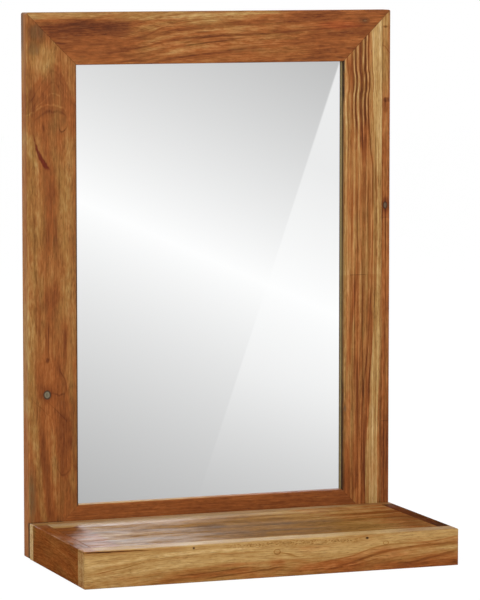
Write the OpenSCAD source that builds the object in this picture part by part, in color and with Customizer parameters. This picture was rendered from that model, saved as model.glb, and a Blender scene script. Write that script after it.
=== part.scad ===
// Wall mirror with a shelf: a mitred and rebated wooden frame round a mirror,
// with a box-built wooden shelf screwed across its foot. Millimetres.
// X runs across, Y from the front of the shelf to the wall, Z up. The origin
// is in the middle of the footprint, in the plane that the base stands on.

/* [Frame] */
// Width of the frame, and of the shelf in front of it
frame_w = 500; // [440:5:640]
// Height of the frame
frame_h = 700; // [560:5:900]
// Thickness of the frame, front to back
frame_t = 22; // [20:0.5:28]
// Width of the rails and stiles, seen from the front
member_w = 67; // [60:1:80]
// Width of the strip glued along the right stile's outer edge
edge_strip_w = 12; // [8:0.5:14]
// Radius of the eased edges round the face of the frame
arris_r = 2; // [1:0.25:3]
// Radius of the eased edge at the back of the frame
back_arris_r = 1; // [0.5:0.25:1.5]
// Radius of the frame's outer corners, seen from the front
corner_r = 3; // [1.5:0.5:5]

/* [Mirror] */
// Depth from the frame's face to the glass
reveal_d = 7; // [6:0.5:8]
// Thickness of the mirror glass
glass_t = 4; // [3:0.5:5]
// Thickness of the back panel
back_panel_t = 3; // [2.5:0.5:4]
// Width of glass that the frame's lip covers on each side
glass_lap = 8; // [6:0.5:10]
// Clearance between the glass and the rebate's wall
glass_gap = 1.5; // [0.5:0.25:2]
// Width of the polished chamfer on the edges of the glass
glass_chamfer = 0.6; // [0.3:0.1:0.9]

/* [Retaining points] */
// Number of points along each stile
points_per_stile = 4; // [3:1:6]
// Number of points along each rail
points_per_rail = 3; // [2:1:4]
// Thickness of a point
point_t = 0.8; // [0.5:0.1:1.2]
// Width of a point
point_w = 12; // [8:1:16]
// Length of a point in the wood
point_bite = 6; // [4:0.5:8]
// Length of a point over the back panel
point_reach = 8; // [6:0.5:10]

/* [Shelf] */
// Depth of the shelf in front of the frame
shelf_d = 230; // [180:5:280]
// Height of the shelf's boards
shelf_h = 47; // [44:1:60]
// Thickness of the front board
front_t = 25; // [20:1:30]
// Thickness of the back board
back_t = 18; // [14:1:24]
// Thickness of the side boards
side_t = 18; // [16:1:24]
// Thickness of the top panel
top_t = 18; // [16:1:22]
// Radius of the front board's upper front edge
nose_r = 3; // [1.5:0.5:5]
// Radius of the other outer edges of the shelf
shelf_arris_r = 1.5; // [0.75:0.25:2.5]
// Radius of the back board's edges along the frame
back_round_r = 4; // [1.5:0.5:6]
// Radius of the eased edges where two boards meet
joint_ease_r = 0.5; // [0.2:0.1:0.8]
// Leg of the triangular glue blocks in the corners
block_leg = 30; // [20:1:40]
// Height of the glue blocks
block_h = 24; // [16:1:24]

/* [Dowels] */
// Diameter of the dowels
dowel_d = 8; // [6:0.5:8]
// Length of the dowels across the frame's mitres
mitre_dowel_l = 36; // [24:1:38]
// Distance from the outer corner to the first mitre dowel, along the mitre
mitre_dowel_in = 38; // [38:1:42]
// Distance between the two dowels of a mitre
mitre_dowel_pitch = 26; // [22:1:27]
// Length of the dowels in the shelf
shelf_dowel_l = 30; // [24:1:32]
// Number of dowels between the front board and the top panel
front_dowels = 3; // [2:1:5]
// Distance between the front board's dowels
front_dowel_pitch = 150; // [80:5:170]
// Distance between the dowels of a side board, measured up the joint
side_dowel_pitch = 23; // [20:1:24]
// Distance between the dowels from a side board into the top panel
panel_dowel_pitch = 100; // [60:5:120]

/* [Screws] */
// Diameter of the screws that hold the shelf
shelf_screw_d = 4.5; // [4:0.25:5]
// Length of the screws that hold the shelf
shelf_screw_l = 50; // [45:1:55]
// Diameter of the screws in the hanger plates
hanger_screw_d = 3.5; // [3:0.25:4]
// Length of the screws in the hanger plates
hanger_screw_l = 14; // [10:1:16]
// Number of screws into the edge of the top panel
panel_screws = 3; // [2:1:4]
// Distance between the screws into the edge of the top panel
panel_screw_pitch = 120; // [90:5:130]

/* [Hangers] */
// Distance from the frame's side to the middle of a hanger plate
hanger_inset = 32; // [24:1:44]
// Distance from the top of the frame down to the middle of the plates
hanger_drop = 100; // [90:5:200]
// Width of a hanger plate
plate_w = 20; // [18:1:24]
// Length of a hanger plate
plate_l = 60; // [56:1:70]
// Thickness of a hanger plate
plate_t = 2; // [1.5:0.25:3]
// Diameter of the hole that the wall screw's head goes through
head_hole_d = 10; // [8:0.5:11]
// Width of the slot that the wall screw's neck hangs in
neck_slot_w = 5; // [4:0.25:6]
// Distance from the head hole to the top of the slot
neck_travel = 14; // [11:1:15]
// Depth of the pocket behind a plate
pocket_d = 8; // [6:0.5:10]

/* [Clearances] */
// Clearance round a dowel or a screw, on the radius
pin_gap = 0.1; // [0.05:0.05:0.2]
// Room past the end of a dowel or a screw
end_gap = 1; // [0.5:0.25:2]
// Clearance round a hanger plate in its recess
plate_gap = 0.3; // [0.1:0.1:0.5]

/* [Hidden] */
$fn = 48;

// Where the planes lie, front to back
total_d = frame_t + shelf_d;
y_wall = total_d / 2;
y_face = y_wall - frame_t;
y_front = -total_d / 2;

// The rebate, as depths in from the back of the frame
rebate_d = frame_t - reveal_d;
panel_seat = rebate_d - glass_t;
point_seat = panel_seat - back_panel_t;
rebate_x = member_w - glass_lap;
glass_w = frame_w - 2 * rebate_x - 2 * glass_gap;
glass_h = frame_h - 2 * rebate_x - 2 * glass_gap;

// The inside of the shelf
panel_w = frame_w - 2 * side_t;
panel_d = shelf_d - front_t - back_t;
panel_y = y_front + front_t;
panel_mid_z = shelf_h - top_t / 2;
side_mid_x = frame_w / 2 - side_t / 2;
side_mid_z = shelf_h / 2;

// A hanger plate, measured from its middle: where its round ends begin, where
// its screws are and where the head hole is
plate_straight = plate_l / 2 - plate_w / 2;
plate_screw_z = plate_straight + 1;
keyhole_z = -neck_travel / 2;

// The frame's corners, named by the turn about Y that brings the lower left
// one there
ANGLE_BL = 0;
ANGLE_TL = 90;
ANGLE_TR = 180;
ANGLE_BR = 270;
ANGLES = [ANGLE_BL, ANGLE_TL, ANGLE_TR, ANGLE_BR];

// Countersunk heads: the head is twice the shank across, at 90 degrees
head_ratio = 2;
// Share of a screw's length that its point takes, and how blunt the point is
tip_share = 0.14;
tip_blunt = 0.1;
// The cross in a screw's head, as shares of the screw's diameter
cross_depth = 0.4;
cross_blade = 0.22;
// A cut runs this far past the face that it starts from
over = 1;
right_angle = 90;

// Offsets of a row of n places at a pitch, centred on 0
function row(n, pitch) = [for (i = [0:n - 1]) (i - (n - 1) / 2) * pitch];

// ---- shared shapes -------------------------------------------------------

// The waste outside a rounded corner whose point is at the origin
module corner_waste(r) {
    difference() {
        translate([-over, -over]) square(r + over);
        translate([r, r]) circle(r);
    }
}

// A rectangle whose corners have their own radii: [x0y0, x1y0, x1y1, x0y1]
module eased_rect(w, h, radii) {
    places = [[0, 0], [w, 0], [w, h], [0, h]];
    difference() {
        square([w, h]);
        for (i = [0:3]) {
            if (radii[i] > 0) {
                translate(places[i]) rotate(i * right_angle) corner_waste(radii[i]);
            }
        }
    }
}

// A board with its own radius on each edge. along_x lists the edges that run
// along X as [y0z0, y1z0, y1z1, y0z1]; along_y and along_z list theirs alike.
module board(size, along_x, along_y, along_z) {
    intersection() {
        rotate([90, 0, 90]) linear_extrude(size[0]) eased_rect(size[1], size[2], along_x);
        translate([0, size[1], 0]) rotate([90, 0, 0]) linear_extrude(size[1])
            eased_rect(size[0], size[2], along_y);
        linear_extrude(size[2]) eased_rect(size[0], size[1], along_z);
    }
}

// A countersunk screw that points along -Y, with its head flush at y = 0.
// extra widens it all over to cut its hole; a hole has no point and no cross.
module screw(d, l, extra = 0) {
    r = d / 2 + extra;
    head_r = head_ratio * d / 2 + extra;
    head_h = head_r - r;
    tip_l = tip_share * l;
    is_hole = extra > 0;
    difference() {
        rotate([90, 0, 0]) union() {
            cylinder(h = head_h, r1 = head_r, r2 = r);
            cylinder(h = is_hole ? l + end_gap : l - tip_l, r = r);
            if (!is_hole) {
                translate([0, 0, l - tip_l]) cylinder(h = tip_l, r1 = r, r2 = r * tip_blunt);
            }
        }
        if (!is_hole) {
            cross_recess(d);
        }
    }
}

// The cross in a screw's head
module cross_recess(d) {
    blade_t = cross_blade * d;
    depth = cross_depth * d;
    for (turn = [0, 90]) {
        rotate([0, turn, 0]) translate([-d / 2, -depth, -blade_t / 2])
            cube([d, depth + over, blade_t]);
    }
}

// ---- the frame -----------------------------------------------------------

// Puts a child made for the lower left corner at another corner of the frame
module at_corner(angle) {
    x = (angle < ANGLE_TR ? -1 : 1) * frame_w / 2;
    z = angle == ANGLE_TL || angle == ANGLE_TR ? frame_h : 0;
    translate([x, y_wall, z]) rotate([0, angle, 0]) children();
}

// Section of a rail or stile: x in from the outer edge, y out from the wall
module member_section() {
    difference() {
        eased_rect(member_w, frame_t, [back_arris_r, 0, arris_r, arris_r]);
        translate([rebate_x, -over]) square([glass_lap + over, rebate_d + over]);
    }
}

// A mitred member along +Z, with its outer edge at x = 0 and its back at y = 0
module member(len, points) {
    difference() {
        intersection() {
            mirror([0, 1, 0]) linear_extrude(len) member_section();
            rotate([90, 0, 0]) linear_extrude(frame_t) mitred_outline(len);
        }
        corner_rounding();
        translate([0, 0, len]) rotate([0, 90, 0]) corner_rounding();
        mitre_dowels(pin_gap);
        translate([0, 0, len]) rotate([0, 90, 0]) mitre_dowels(pin_gap);
        member_points(len, points);
    }
}

module mitred_outline(len) {
    polygon([[0, 0], [member_w, member_w], [member_w, len - member_w], [0, len]]);
}

module corner_rounding() {
    translate([0, over, 0]) rotate([90, 0, 0]) linear_extrude(frame_t + 2 * over)
        corner_waste(corner_r);
}

// The dowels across the mitre of the lower left corner
module mitre_dowels(extra = 0) {
    len = mitre_dowel_l + (extra > 0 ? 2 * end_gap : 0);
    for (along = [mitre_dowel_in, mitre_dowel_in + mitre_dowel_pitch]) {
        rotate([0, -45, 0]) translate([along, -frame_t / 2, 0])
            cylinder(h = len, r = dowel_d / 2 + extra, center = true);
    }
}

// The retaining points along a member, or the slots that they are driven into
module member_points(len, count) {
    for (dz = row(count, (len - 2 * member_w) / count)) {
        translate([rebate_x - point_bite, -point_seat, len / 2 + dz - point_w / 2])
            cube([point_bite + point_reach, point_t, point_w]);
    }
}

module frame_top_rail() {
    color("peru") at_corner(ANGLE_TL) member(frame_w, points_per_rail);
}

module frame_bottom_rail() {
    color("sienna") difference() {
        at_corner(ANGLE_BR) member(frame_w, points_per_rail);
        shelf_screw_set(pin_gap);
    }
}

module frame_left_stile() {
    color("peru") difference() {
        at_corner(ANGLE_BL) member(frame_h, points_per_stile);
        hanger_recess(-1);
        shelf_screw_set(pin_gap);
    }
}

// The right stile is two strips glued edge to edge, so this is the inner one
module frame_right_stile() {
    color("peru") difference() {
        right_stile_blank();
        edge_strip_zone();
        hanger_recess(1);
        shelf_screw_set(pin_gap);
    }
}

module frame_right_edge_strip() {
    color("saddlebrown") difference() {
        intersection() {
            right_stile_blank();
            edge_strip_zone();
        }
        hanger_recess(1);
        shelf_screw_set(pin_gap);
    }
}

module right_stile_blank() {
    at_corner(ANGLE_TR) member(frame_h, points_per_stile);
}

module edge_strip_zone() {
    translate([frame_w / 2 - edge_strip_w, y_face - over, -over])
        cube([edge_strip_w + over, frame_t + 2 * over, frame_h + 2 * over]);
}

module frame_dowels() {
    color("burlywood") for (angle = ANGLES) {
        at_corner(angle) mitre_dowels();
    }
}

// ---- the mirror ----------------------------------------------------------

module mirror_glass() {
    color("lightsteelblue") translate([-glass_w / 2, y_wall - rebate_d, frame_h / 2 - glass_h / 2])
        intersection() {
            rotate([90, 0, 90]) linear_extrude(glass_w) chamfered_rect(glass_t, glass_h);
            linear_extrude(glass_h) chamfered_rect(glass_w, glass_t);
        }
}

// A section of the glass, with its four corners cut off at 45 degrees
module chamfered_rect(w, h) {
    c = glass_chamfer;
    polygon([[c, 0], [w - c, 0], [w, c], [w, h - c], [w - c, h], [c, h], [0, h - c], [0, c]]);
}

module mirror_back_panel() {
    color("tan") translate([-glass_w / 2, y_wall - panel_seat, frame_h / 2 - glass_h / 2])
        cube([glass_w, back_panel_t, glass_h]);
}

module retaining_points() {
    color("silver") {
        at_corner(ANGLE_BL) member_points(frame_h, points_per_stile);
        at_corner(ANGLE_TR) member_points(frame_h, points_per_stile);
        at_corner(ANGLE_TL) member_points(frame_w, points_per_rail);
        at_corner(ANGLE_BR) member_points(frame_w, points_per_rail);
    }
}

// ---- the shelf -----------------------------------------------------------

module shelf_front_board() {
    out = shelf_arris_r;
    ease = joint_ease_r;
    color("burlywood") difference() {
        translate([-frame_w / 2, y_front, 0])
            board([frame_w, front_t, shelf_h], [out, out, ease, nose_r], [out, out, out, out],
                  [out, out, ease, ease]);
        shelf_dowel_set(pin_gap);
    }
}

module shelf_back_board() {
    out = shelf_arris_r;
    ease = joint_ease_r;
    turn = back_round_r;
    color("tan") difference() {
        translate([-frame_w / 2, y_face - back_t, 0])
            board([frame_w, back_t, shelf_h], [out, turn, turn, ease], [out, out, out, out],
                  [ease, ease, turn, turn]);
        shelf_dowel_set(pin_gap);
        shelf_screw_set(pin_gap);
    }
}

// One side board: side is -1 at the left and 1 at the right
module side_board(side) {
    out = shelf_arris_r;
    ease = joint_ease_r;
    left = side < 0;
    difference() {
        translate([side * side_mid_x - side_t / 2, panel_y, 0])
            board([side_t, panel_d, shelf_h], [ease, ease, ease, ease],
                  left ? [out, out, ease, out] : [out, out, out, ease],
                  left ? [ease, 0, 0, ease] : [0, ease, ease, 0]);
        shelf_dowel_set(pin_gap);
        shelf_screw_set(pin_gap);
    }
}

module shelf_left_side() {
    color("sienna") side_board(-1);
}

module shelf_right_side() {
    color("sienna") side_board(1);
}

module shelf_top_panel() {
    ease = joint_ease_r;
    color("chocolate") difference() {
        translate([-panel_w / 2, panel_y, shelf_h - top_t])
            board([panel_w, panel_d, top_t], [0, 0, ease, ease], [0, 0, ease, ease], [0, 0, 0, 0]);
        shelf_dowel_set(pin_gap);
        shelf_screw_set(pin_gap);
    }
}

// A dowel along +Y that starts at the origin, or with extra the bore for it
module dowel_y(extra) {
    room = extra > 0 ? end_gap : 0;
    translate([0, -room, 0]) rotate([-90, 0, 0])
        cylinder(h = shelf_dowel_l + 2 * room, r = dowel_d / 2 + extra);
}

// All the dowels of the shelf, or with extra the bores for them
module shelf_dowel_set(extra = 0) {
    front_bite = shelf_dowel_l / 2;
    back_bite = back_t - dowel_d / 2 - end_gap;
    side_bite = side_t - dowel_d / 2 - end_gap;
    for (side = [-1, 1]) {
        for (dz = row(2, side_dowel_pitch)) {
            translate([side * side_mid_x, panel_y - front_bite, side_mid_z + dz]) dowel_y(extra);
            translate([side * side_mid_x, panel_y + panel_d + back_bite - shelf_dowel_l,
                       side_mid_z + dz]) dowel_y(extra);
        }
        for (dy = row(2, panel_dowel_pitch)) {
            translate([side * (panel_w / 2 + side_bite), panel_y + panel_d / 2 + dy, panel_mid_z])
                rotate([0, 0, side * 90]) dowel_y(extra);
        }
    }
    for (x = row(front_dowels, front_dowel_pitch)) {
        translate([x, panel_y - front_bite, panel_mid_z]) dowel_y(extra);
    }
}

module shelf_dowels() {
    color("burlywood") shelf_dowel_set();
}

// The triangular blocks glued into the corners under the top panel
module shelf_glue_blocks() {
    leg = min(block_leg, panel_d / 2 - over);
    block_z = shelf_h - top_t - block_h;
    x = panel_w / 2;
    corners = [[-x, panel_y], [x, panel_y], [x, panel_y + panel_d], [-x, panel_y + panel_d]];
    color("wheat") for (i = [0:3]) {
        translate([corners[i][0], corners[i][1], block_z]) rotate(i * right_angle)
            linear_extrude(block_h) polygon([[0, 0], [leg, 0], [0, leg]]);
    }
}

// ---- the fasteners -------------------------------------------------------

// The screws that hold the shelf: one into the end of each side board, and a
// row into the back edge of the top panel. With extra, the holes for them.
module shelf_screw_set(extra = 0) {
    for (side = [-1, 1]) {
        translate([side * side_mid_x, y_wall, side_mid_z])
            screw(shelf_screw_d, shelf_screw_l, extra);
    }
    for (x = row(panel_screws, panel_screw_pitch)) {
        translate([x, y_wall, panel_mid_z]) screw(shelf_screw_d, shelf_screw_l, extra);
    }
}

module shelf_screws() {
    color("silver") shelf_screw_set();
}

// Puts a child at the middle of one hanger, on the plane of the wall
module at_hanger(side) {
    translate([side * (frame_w / 2 - hanger_inset), y_wall, frame_h - hanger_drop]) children();
}

// An upright slot with round ends, between two heights, cut d deep from y = 0
module upright_slot(w, z0, z1, d) {
    rotate([90, 0, 0]) union() {
        translate([-w / 2, z0, 0]) cube([w, z1 - z0, d]);
        for (z = [z0, z1]) {
            translate([0, z, 0]) cylinder(h = d, d = w);
        }
    }
}

module hanger_plate(side) {
    at_hanger(side) difference() {
        upright_slot(plate_w, -plate_straight, plate_straight, plate_t);
        translate([0, over, 0]) {
            translate([0, 0, keyhole_z]) rotate([90, 0, 0])
                cylinder(h = plate_t + 2 * over, d = head_hole_d);
            upright_slot(neck_slot_w, keyhole_z, keyhole_z + neck_travel, plate_t + 2 * over);
        }
        hanger_screw_pair(pin_gap);
    }
}

module hanger_plate_left() {
    color("silver") hanger_plate(-1);
}

module hanger_plate_right() {
    color("silver") hanger_plate(1);
}

module hanger_screw_pair(extra = 0) {
    for (z = [-plate_screw_z, plate_screw_z]) {
        translate([0, 0, z]) screw(hanger_screw_d, hanger_screw_l, extra);
    }
}

// What the stile loses behind a hanger: the plate's recess, the pocket for the
// wall screw's head and the screws' holes
module hanger_recess(side) {
    pocket_w = head_hole_d + 2 * plate_gap;
    at_hanger(side) {
        translate([0, over, 0])
            upright_slot(plate_w + 2 * plate_gap, -plate_straight, plate_straight, plate_t + over);
        upright_slot(pocket_w, keyhole_z, keyhole_z + neck_travel, plate_t + pocket_d);
        hanger_screw_pair(pin_gap);
    }
}

module hanger_screws() {
    color("silver") for (side = [-1, 1]) {
        at_hanger(side) hanger_screw_pair();
    }
}

frame_top_rail();
frame_bottom_rail();
frame_left_stile();
frame_right_stile();
frame_right_edge_strip();
frame_dowels();
mirror_glass();
mirror_back_panel();
retaining_points();
shelf_top_panel();
shelf_front_board();
shelf_back_board();
shelf_left_side();
shelf_right_side();
shelf_dowels();
shelf_glue_blocks();
shelf_screws();
hanger_plate_left();
hanger_plate_right();
hanger_screws();
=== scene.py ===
"""Wooden wall mirror with a shelf along its foot, dressed for rendering.

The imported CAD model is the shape. This script gives every board its own wood,
the glass its silvering, and sets the object in a plain pale studio.
Lengths in the materials are millimetres, in the scene metres.
"""

import math

import bpy
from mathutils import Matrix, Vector

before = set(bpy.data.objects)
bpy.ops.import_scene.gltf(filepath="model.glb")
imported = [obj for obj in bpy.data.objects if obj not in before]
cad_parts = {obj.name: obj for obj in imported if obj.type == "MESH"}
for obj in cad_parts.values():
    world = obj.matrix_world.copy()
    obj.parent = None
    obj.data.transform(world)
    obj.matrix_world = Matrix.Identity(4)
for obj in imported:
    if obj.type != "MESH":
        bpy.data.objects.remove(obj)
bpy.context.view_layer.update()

# ---------------------------------------------------------------- the object's own lines, mm


def reach(node_name, axis, side):
    """Where a CAD piece's box ends along an axis, in mm; side is min or max."""
    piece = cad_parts[node_name]
    corners = [piece.matrix_world @ Vector(corner) for corner in piece.bound_box]
    return round(side(getattr(corner, axis) for corner in corners) * 1000, 1)


FRAME_HALF_W = reach("frame_right_edge_strip", "x", max)
FRAME_H = reach("frame_top_rail", "z", max)
MEMBER_W = FRAME_H - reach("frame_top_rail", "z", min)
GLASS_HALF_W = FRAME_HALF_W - MEMBER_W
GLASS_TOP_Z = FRAME_H - MEMBER_W
STRIP_EDGE_X = reach("frame_right_edge_strip", "x", min)
FRAME_FACE_Y = reach("frame_top_rail", "y", min)
SHELF_TOP_Z = reach("shelf_front_board", "z", max)
SHELF_FRONT_Y = reach("shelf_front_board", "y", min)

# ---------------------------------------------------------------- the studio, m

LENS_MM = 215.66
CAMERA_AT = (-1.5823, -4.263, 0.806)
CAMERA_YAW = 20.367
CAMERA_PITCH = 5.902

CARD_Y = -2.0
CARD_LEFT = -0.3
CARD_RIGHT = 1.9
CARD_FOOT = -0.7
CARD_HEAD = 0.75
FLOOR_HALF = 9
LAMP_AIM = (0, 0, 0.35)

# ---------------------------------------------------------------- colours and finishes


def light_of(level):
    """The light that a picture's level 0..1 stands for, above the very darkest levels."""
    return ((level + 0.055) / 1.055) ** 2.4


def tone(red, green, blue):
    """A finish's colour, given in the levels 0..255 that a picture shows."""
    shades = [level / 255 for level in (red, green, blue)]
    return (*[shade / 12.92 if shade <= 0.04045 else light_of(shade) for shade in shades], 1)


WHITE = (1, 1, 1, 1)
FLOOR_WHITE = (0.86, 0.86, 0.86, 1)
RED_WOOD = [
    (0.0, tone(52, 24, 10)),
    (0.25, tone(101, 50, 20)),
    (0.5, tone(148, 84, 38)),
    (0.75, tone(182, 120, 66)),
    (1.0, tone(208, 160, 108)),
]
GOLD_WOOD = [
    (0.0, tone(60, 36, 14)),
    (0.25, tone(108, 72, 32)),
    (0.5, tone(154, 110, 56)),
    (0.75, tone(186, 150, 94)),
    (1.0, tone(214, 184, 134)),
]
KNOT_DARK = tone(58, 32, 18)
KNOT_GREY = tone(142, 134, 112)
STAIN_GREY = tone(96, 80, 62)
STAIN_RED = tone(96, 28, 12)
# painted shade, laid in the reveal by the glass and in the groove between frame and shelf
RECESS_SHADE_BROWN = tone(44, 26, 16)
REVEAL_OLIVE = tone(158, 140, 92)
# pale sapwood colour, also laid as a painted sheen on the shelf's top surfaces
SAPWOOD_AND_SHEEN_PALE = tone(200, 184, 150)
KNOT_RIM = tone(70, 52, 36)
KNOT_RIM_BROWN = tone(66, 42, 28)
KNOT_BLUSH = tone(190, 146, 118)
KNOT_HAZE = tone(150, 140, 120)
PIN_KNOT = tone(84, 50, 28)
PIN_KNOT_HEART = tone(136, 98, 60)
PIN_KNOT_GLOW = tone(172, 80, 38)
COOL_PATCH = tone(196, 190, 210)
SEAM_SHADE = tone(104, 78, 60)
FIBRE_DARK = tone(150, 118, 92)
FIBRE_PALE = tone(222, 178, 118)
PORE_DARK = tone(112, 78, 54)
SPECKLE_OLIVE = tone(88, 70, 46)
SPECKLE_BROWN = tone(88, 66, 40)
SPECKLE_GREY = tone(84, 76, 52)
# painted shade for the left stile's inner edge by the glass
INNER_ARRIS_SHADE = tone(64, 48, 32)
BACK_EDGE_GREY = tone(92, 80, 62)
# painted shade for the right stile's inner edge by the glass
SIGHT_EDGE_SHADE = tone(40, 28, 18)
SILVER = (0.915, 0.92, 0.92, 1)
SILVER_SHARE = sum(SILVER[:3]) / 3
GLASS_GREEN = tone(176, 206, 196)
VARNISH_ROUGH = 0.39
VARNISH_IOR = 1.8

# ---------------------------------------------------------------- shader maths


class Field:
    """One socket; arithmetic on it adds Math nodes to the same tree."""

    def __init__(self, recipe, socket):
        self.recipe = recipe
        self.socket = socket

    def math(self, operation, *values):
        return self.recipe.sum_up(operation, self, *values)

    def __add__(self, other):
        return self.math("ADD", other)

    __radd__ = __add__

    def __sub__(self, other):
        return self.math("SUBTRACT", other)

    def __rsub__(self, other):
        return self.recipe.sum_up("SUBTRACT", other, self)

    def __mul__(self, other):
        return self.math("MULTIPLY", other)

    __rmul__ = __mul__

    def __truediv__(self, other):
        return self.math("DIVIDE", other)

    def __rtruediv__(self, other):
        return self.recipe.sum_up("DIVIDE", other, self)

    def __pow__(self, other):
        return self.math("POWER", other)

    def __abs__(self):
        return self.math("ABSOLUTE")

    def root(self):
        return self.math("SQRT")

    def fraction(self):
        return self.math("FRACT")

    def at_least(self, other):
        return self.math("MAXIMUM", other)

    def at_most(self, other):
        return self.math("MINIMUM", other)


class Recipe:
    """One material's (or the world's) node tree."""

    def __init__(self, name, owner=None):
        self.owner = owner or bpy.data.materials.new(name)
        self.owner.use_nodes = True
        self.tree = self.owner.node_tree
        self.tree.nodes.clear()

    def node(self, kind, settings=None, inputs=None, output=0):
        """Adds a node: first its settings, then its sockets' values or links."""
        step = self.tree.nodes.new(kind)
        for name, value in (settings or {}).items():
            if name == "stops":
                self.set_stops(step.color_ramp, value)
            elif name == "curve":
                self.set_curve(step.mapping, value)
            else:
                setattr(step, name, value)
        for key, value in (inputs or {}).items():
            if isinstance(value, Field):
                self.tree.links.new(value.socket, step.inputs[key])
            else:
                step.inputs[key].default_value = value
        return Field(self, step.outputs[output]) if step.outputs else step

    def set_stops(self, ramp, stops):
        while len(ramp.elements) < len(stops):
            ramp.elements.new(1.0)
        for element, (place, colour) in zip(ramp.elements, stops):
            element.position = place
            element.color = colour

    def set_curve(self, mapping, points):
        line = mapping.curves[0]
        line.points[0].location = points[0]
        line.points[1].location = points[-1]
        for point in points[1:-1]:
            line.points.new(*point)
        mapping.update()

    def sum_up(self, operation, *values):
        return self.node("ShaderNodeMath", {"operation": operation}, dict(enumerate(values)))

    def ramp(self, value, start, stop, low=0, high=1):
        """Smoothly from low at start to high at stop, and level outside them."""
        sockets = {"Value": value, "From Min": start, "From Max": stop, "To Min": low, "To Max": high}
        return self.node("ShaderNodeMapRange", {"interpolation_type": "SMOOTHSTEP"}, sockets)

    def mix(self, mask, first, second, blend="MIX"):
        """The first colour where the mask is 0, the second where it is 1."""
        settings = {"data_type": "RGBA", "blend_type": blend}
        return self.node("ShaderNodeMix", settings, {0: mask, 6: first, 7: second}, 2)

    def part(self, vector, axis):
        return self.node("ShaderNodeSeparateXYZ", None, {0: vector}, "XYZ".index(axis))

    def surface(self, **sockets):
        """A Principled surface; socket names are written with _ for a space."""
        named = {name.replace("_", " "): value for name, value in sockets.items()}
        shader = self.node("ShaderNodeBsdfPrincipled", None, named)
        self.show(shader)

    def show(self, shader, kind="ShaderNodeOutputMaterial"):
        self.node(kind, None, {"Surface": shader})


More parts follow.
